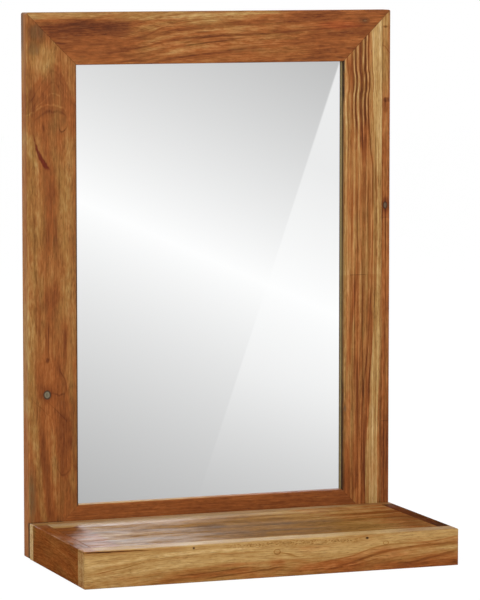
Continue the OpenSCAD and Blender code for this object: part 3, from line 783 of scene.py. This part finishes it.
def shelf_front_wood():
    board = Board("wood_shelf_front", "X", "Z", "Y", 7)
    sweep = board.course([(-250, -6), (-200, 0), (-100, 6), (0, 3), (60, 0), (150, 10), (250, 18)])
    lines = board.across - sweep
    board.grow(lines, 0.66, 0.06, broad=7, narrow=2.2, ring=3.0, wander=3, bold=0.55, mottle=0.8)
    low = board.beyond([(50, 9), (60, 15), (100, 20), (150, 31), (200, 33), (250, 38)], 1.2)
    board.mark((1 - low) * board.ramp(board.along, 40, 110), -0.04, 0.35)
    board.mark(board.ramp(board.across, 30, 10), -0.05, 0.1)
    board.mark(board.ramp(board.across, 22, 8) * board.ramp(board.along, -200, -100), -0.06, 0.25)
    board.marks([
        (-0.10, 0.2, 4.0, [(-250, 45), (-180, 45), (-120, 45)]),
        (0.14, -0.1, 2.2, [(-250, 27), (-200, 32), (-150, 37), (-100, 38), (-20, 38)]),
        (0.10, -0.1, 2.4, [(-250, 12), (-200, 15), (-140, 24), (-60, 26)]),
        (-0.22, 0.2, 0.6, [(-240, 18), (-200, 24), (-180, 28)]),
        (-0.16, 0.1, 0.6, [(-80, 34), (-20, 33)]),
        (-0.26, 0.2, 0.9, [(6, 31), (16, 29), (26, 26)]),
        (-0.04, 0.2, 2.4, [(-150, 5), (-80, 8), (-20, 17)]),
        (-0.05, 0.3, 2.0, [(-120, 16), (-60, 18), (0, 20), (40, 18)]),
        (-0.20, 0.1, 0.6, [(-130, 10), (-70, 12), (-40, 15)]),
        (-0.20, 0.1, 0.7, [(-90, 4), (-40, 8), (10, 13)]),
        (0.08, 0.4, 5.0, [(28, 10), (55, 10), (85, 10)]),
        (-0.14, 0.2, 0.9, [(60, 15), (100, 20), (150, 32), (200, 33), (250, 38)]),
        (-0.18, 0.1, 1.4, [(70, 5), (110, 14), (160, 25), (250, 30)]),
        (-0.16, 0.1, 1.5, [(170, 5), (210, 12), (250, 20)]),
        (0.14, 0.1, 1.8, [(90, 9), (150, 17), (200, 21), (250, 25)]),
    ])
    board.mark(board.patch(222, 4, 46, 5), -0.10, 0.3)
    dotted = board.streak(2.2, [(-60, 42), (0, 42.5), (90, 41), (110, 41)])
    board.mark(dotted * board.ramp(board.noise(2.6, 1.0), 0.02, 0.12), -0.3, 0.1)
    board.mark(board.ring(3, 32, 4.2, 3.2), -0.20, 0.1)
    board.mark(board.patch(3, 32, 4.2, 3.2), -0.06, 0.1)
    board.mark(board.ring(150, 35, 3.6, 2.4), -0.18, 0.1)
    board.mark(board.patch(2, 18, 11, 11), -0.05, 0.3)
    top = board.facing_up
    # painted light: the top face lighter and more golden
    board.mark(top * board.ramp(board.along, -60, 20, 0.6, 1), 0.12, -0.4)
    board.mark(top * board.ramp(board.along, -228, -238), -0.14, 0.6)
    board.mark(top * board.ramp(board.along, 150, 190), -0.20, 0.2)
    # painted highlight on the top front arris at the left end
    arris = board.ramp(board.across, SHELF_TOP_Z - 0.8, SHELF_TOP_Z - 0.4)
    arris = arris * board.ramp(board.depth, SHELF_FRONT_Y + 2, SHELF_FRONT_Y + 0.8)
    board.mark(arris * board.ramp(board.along, -20, -60), 0.45, -0.3)
    # painted shade: a dark line just under the top front arris at the left
    board.mark(board.streak(0.7, [(-250, 45.2), (-215, 45), (-170, 44.6)]), -0.4, 0.1)
    end = board.facing_side
    end_line = abs(board.depth - (SHELF_FRONT_Y + 9.3))
    board.mark(end * board.ramp(end_line, 1.2, 0.4), -0.25, 0.1)
    board.mark(end, -0.03, 0.1)
    board.stain()
    board.lay(board.patch(-107.5, 43, 1.5, 1.1), KNOT_DARK)
    board.lay(board.patch(124.5, 42.5, 1.9, 1.2), KNOT_DARK)
    return board.finish(varnish=board.top_varnish() * 0.55 + 0.03, sheen=0.05)


def shelf_back_wood():
    board = Board("wood_shelf_back", "X", "Z", "Y", 8)
    board.grow(board.across, 0.58, 0.1, broad=8, narrow=2.8, ring=3.5, wander=2)
    board.mark(board.facing_side, 0.26)
    board.mark(board.facing_up * board.ramp(board.along, 170, 215), -0.08, 0.2)
    board.stain()
    middle = board.ramp(board.along, -170, -90) * board.ramp(board.along, 200, 150)
    # partly sapwood colour, partly a painted sheen: a paler top edge in the middle of the back board
    board.lay(board.facing_up * middle * 0.26, SAPWOOD_AND_SHEEN_PALE)
    # painted shade in the groove along the frame's face
    board.lay(board.ramp(board.depth, FRAME_FACE_Y - 3.2, FRAME_FACE_Y - 1) * 0.9, RECESS_SHADE_BROWN)
    return board.finish(varnish=board.top_varnish())


def shelf_side_wood():
    board = Board("wood_shelf_side", "Y", "Z", "X", 9)
    behind = (board.along - 20) * 0.3
    side = board.across + 14
    lines = (side * side + behind * behind).root()
    board.grow(lines, 0.43, 0.85, broad=9, narrow=3, ring=4, wander=6, bold=0.35, mottle=0.8)
    board.mark(board.patch(88, 38, 12, 14), -0.08, -0.6)
    board.mark(board.patch(-85, 44, 20, 6), -0.10, -0.2)
    # painted shade: the right board's top edge darker than the left board's
    board.mark(board.facing_up * board.ramp(board.sideways, 0, 100), -0.20)
    board.stain()
    return board.finish(rough=0.55, varnish=board.top_varnish(), sheen=0)


def plain_wood():
    board = Board("wood_plain", "X", "Z", "Y", 10)
    board.grow(board.across, 0.66, 0.2, broad=5, narrow=1.8, ring=2.2, wander=1, bold=0.7, mottle=0.6)
    board.stain()
    return board.finish(rough=0.6)


# ---------------------------------------------------------------- glass, hardboard, steel


def mirror_finish():
    """Silvered glass: mirror face, and the green tint of the glass on its cut edges."""
    recipe = Recipe("mirror")
    place = recipe.node("ShaderNodeTexCoord", None, None, "Object")
    facing = recipe.node("ShaderNodeTexCoord", None, None, "Normal")
    edge = recipe.ramp(abs(recipe.part(facing, "Y")), 0.98, 0.90)
    haze = recipe.node("ShaderNodeTexNoise", None, {"Vector": place, "Scale": 14, "Detail": 3})
    colour = recipe.mix(edge, SILVER, GLASS_GREEN)
    recipe.surface(Base_Color=colour, Metallic=1 - edge * 0.6, Roughness=haze * 0.012 + edge * 0.12)
    return recipe.owner


def hardboard_finish():
    """Pressed fibre board: mottled brown, with its fibres and a faint mesh of the press."""
    board = Board("hardboard", "X", "Z", "Y", 12)
    fleck = board.noise(2.2, 2.2, None, 4, 0.7)
    cloud = board.noise(60, 60, None, 3)
    stops = [(0.25, tone(96, 66, 42)), (0.5, tone(124, 90, 60)), (0.75, tone(150, 114, 80))]
    colour = board.node("ShaderNodeValToRGB", {"stops": stops}, {0: fleck * 0.9 + cloud * 0.5 + 0.5})
    height = fleck + board.noise(0.7, 0.7) * 0.5
    sockets = {"Strength": 0.5, "Distance": 0.00008, "Height": height}
    board.surface(
        Base_Color=colour,
        Roughness=0.72 + fleck * 0.2,
        Specular_IOR_Level=0.3,
        Normal=board.node("ShaderNodeBump", None, sockets),
    )
    return board.owner


def steel_finish():
    """Zinc-plated steel with a fine brushed face."""
    board = Board("steel", "Z", "X", "Y", 13)
    brush = board.noise(14, 0.35, None, 3, 0.6)
    cloud = board.noise(8, 8, None, 3)
    stops = [(0.3, tone(150, 150, 150)), (0.7, tone(196, 196, 192))]
    colour = board.node("ShaderNodeValToRGB", {"stops": stops}, {0: cloud + 0.5})
    sockets = {"Strength": 0.35, "Distance": 0.00003, "Height": brush}
    board.surface(
        Base_Color=colour,
        Metallic=1.0,
        Roughness=0.36 + brush * 0.2 + cloud * 0.16,
        Normal=board.node("ShaderNodeBump", None, sockets),
    )
    return board.owner


finishes = {
    "wood_top_rail": top_rail_wood(),
    "wood_bottom_rail": bottom_rail_wood(),
    "wood_left_stile": left_stile_wood(),
    "wood_right_stile": right_stile_wood(),
    "wood_edge_strip": edge_strip_wood(),
    "wood_shelf_top": shelf_top_wood(),
    "wood_shelf_front": shelf_front_wood(),
    "wood_shelf_back": shelf_back_wood(),
    "wood_shelf_side": shelf_side_wood(),
    "wood_plain": plain_wood(),
    "mirror": mirror_finish(),
    "hardboard": hardboard_finish(),
    "steel": steel_finish(),
}

NODE_FINISHES = {
    "frame_top_rail": "wood_top_rail",
    "frame_bottom_rail": "wood_bottom_rail",
    "frame_left_stile": "wood_left_stile",
    "frame_right_stile": "wood_right_stile",
    "frame_right_edge_strip": "wood_edge_strip",
    "frame_dowels": "wood_plain",
    "mirror_glass": "mirror",
    "mirror_back_panel": "hardboard",
    "retaining_points": "steel",
    "shelf_top_panel": "wood_shelf_top",
    "shelf_front_board": "wood_shelf_front",
    "shelf_back_board": "wood_shelf_back",
    "shelf_left_side": "wood_shelf_side",
    "shelf_right_side": "wood_shelf_side",
    "shelf_dowels": "wood_plain",
    "shelf_glue_blocks": "wood_plain",
    "shelf_screws": "steel",
    "hanger_plate_left": "steel",
    "hanger_plate_right": "steel",
    "hanger_screws": "steel",
}

for node_name, finish_name in NODE_FINISHES.items():
    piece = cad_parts[node_name]
    piece.data.materials.clear()
    piece.data.materials.append(finishes[finish_name])


# ---------------------------------------------------------------- studio


def sheet_of(name, corners, material):
    """A flat four-cornered stage piece."""
    mesh = bpy.data.meshes.new(name)
    mesh.from_pydata(corners, [], [range(len(corners))])
    mesh.materials.append(material)
    piece = bpy.data.objects.new(name, mesh)
    bpy.context.scene.collection.objects.link(piece)
    return piece


def seen_plainly(recipe):
    """1 for rays that show the background itself: to the camera, or in metal and glass."""
    path = "ShaderNodeLightPath"
    camera = recipe.node(path, None, None, "Is Camera Ray")
    glossy = recipe.node(path, None, None, "Is Glossy Ray")
    through = recipe.node(path, None, None, "Is Transmission Ray")
    return (camera + glossy + through).at_most(1)


def floor_finish():
    recipe = Recipe("pale_floor")
    lit = recipe.node("ShaderNodeBsdfDiffuse", None, {"Color": FLOOR_WHITE})
    white = recipe.node("ShaderNodeEmission", None, {"Color": WHITE, "Strength": 1.04})
    shaders = {0: seen_plainly(recipe) * 0.93, 1: lit, 2: white}
    recipe.show(recipe.node("ShaderNodeMixShader", None, shaders))
    return recipe.owner


def card_finish():
    """The soft diagonal light that the mirror reflects: a bright band across a pale card.

    It is laid out in the card's own mm. Right of a sloping edge, which the photograph's
    mirror shows, the card is paler. Its levels are a picture's, 0 to 255.
    """
    recipe = Recipe("studio_card")
    place = recipe.node("ShaderNodeTexCoord", None, None, "Object")
    x = recipe.part(place, "X") * 1000
    z = recipe.part(place, "Z") * 1000
    brightest = 254
    fall = 0.1268
    slow_fall = 0.06745
    band = 514.95 - x * 0.449
    edge = 840.1 + z * 0.349
    below = (band - z).at_least(0)
    above = (z - band).at_least(0)
    beyond = recipe.ramp(x - edge, -2.2, 2.2)
    drop_above = above * fall * (1 - beyond) + (above * slow_fall).at_most(18.5) * beyond
    lift = beyond * recipe.ramp(z, -359, -33) * recipe.ramp(z, band + 30, band - 208) * 8
    level = (brightest - below * fall - drop_above + lift) / 255
    light = light_of(level) / SILVER_SHARE
    grey = recipe.node("ShaderNodeCombineXYZ", None, {0: light, 1: light, 2: light})
    recipe.show(recipe.node("ShaderNodeEmission", None, {"Color": grey, "Strength": 1}))
    return recipe.owner


def build_world():
    """White where it shows as background, and a soft light that is stronger from the left."""
    world = bpy.data.worlds.new("studio")
    bpy.context.scene.world = world
    recipe = Recipe("studio", world)
    direction = recipe.node("ShaderNodeTexCoord", None, None, "Generated")
    strength = 0.5 - recipe.part(direction, "X") * 0.16
    ambient = recipe.node("ShaderNodeBackground", None, {"Color": WHITE, "Strength": strength})
    white = recipe.node("ShaderNodeBackground", None, {"Color": WHITE, "Strength": 1})
    both = recipe.node("ShaderNodeMixShader", None, {0: seen_plainly(recipe), 1: ambient, 2: white})
    recipe.show(both, "ShaderNodeOutputWorld")


def soft_light(name, place, size, watts):
    lamp = bpy.data.lights.new(name, "AREA")
    lamp.shape = "SQUARE"
    lamp.size = size
    lamp.energy = watts
    piece = bpy.data.objects.new(name, lamp)
    piece.location = place
    piece.rotation_euler = (Vector(LAMP_AIM) - Vector(place)).to_track_quat("-Z", "Y").to_euler()
    piece.visible_camera = False
    bpy.context.scene.collection.objects.link(piece)


def build_camera():
    data = bpy.data.cameras.new("camera")
    data.lens = LENS_MM
    data.clip_end = 60
    piece = bpy.data.objects.new("camera", data)
    piece.location = CAMERA_AT
    piece.rotation_euler = (math.radians(90 - CAMERA_PITCH), 0, math.radians(-CAMERA_YAW))
    bpy.context.scene.collection.objects.link(piece)
    bpy.context.scene.camera = piece


floor_corners = [(x * FLOOR_HALF, y * FLOOR_HALF, 0) for x, y in ((-1, -1), (1, -1), (1, 1), (-1, 1))]
floor = sheet_of("floor", floor_corners, floor_finish())

card_corners = [
    (CARD_LEFT, CARD_Y, CARD_FOOT),
    (CARD_RIGHT, CARD_Y, CARD_FOOT),
    (CARD_RIGHT, CARD_Y, CARD_HEAD),
    (CARD_LEFT, CARD_Y, CARD_HEAD),
]
card = sheet_of("studio_card", card_corners, card_finish())

# The photograph's mirror shows the studio alone, so the shelf and the floor stay out of
# reflections, and only reflections see the card.
floor.visible_glossy = False
for node_name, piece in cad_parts.items():
    if node_name.startswith("shelf_"):
        piece.visible_glossy = False
card.visible_camera = False
card.visible_diffuse = False
card.visible_transmission = False
card.visible_shadow = False

build_world()
soft_light("key", (0.85, -2.9, 1.95), 1.4, 50)
soft_light("fill", (-2.7, -2.9, 2.3), 1.8, 45)
soft_light("back", (-0.8, 3.0, 1.6), 1.6, 24)
build_camera()
bpy.context.scene.view_settings.view_transform = "Standard"
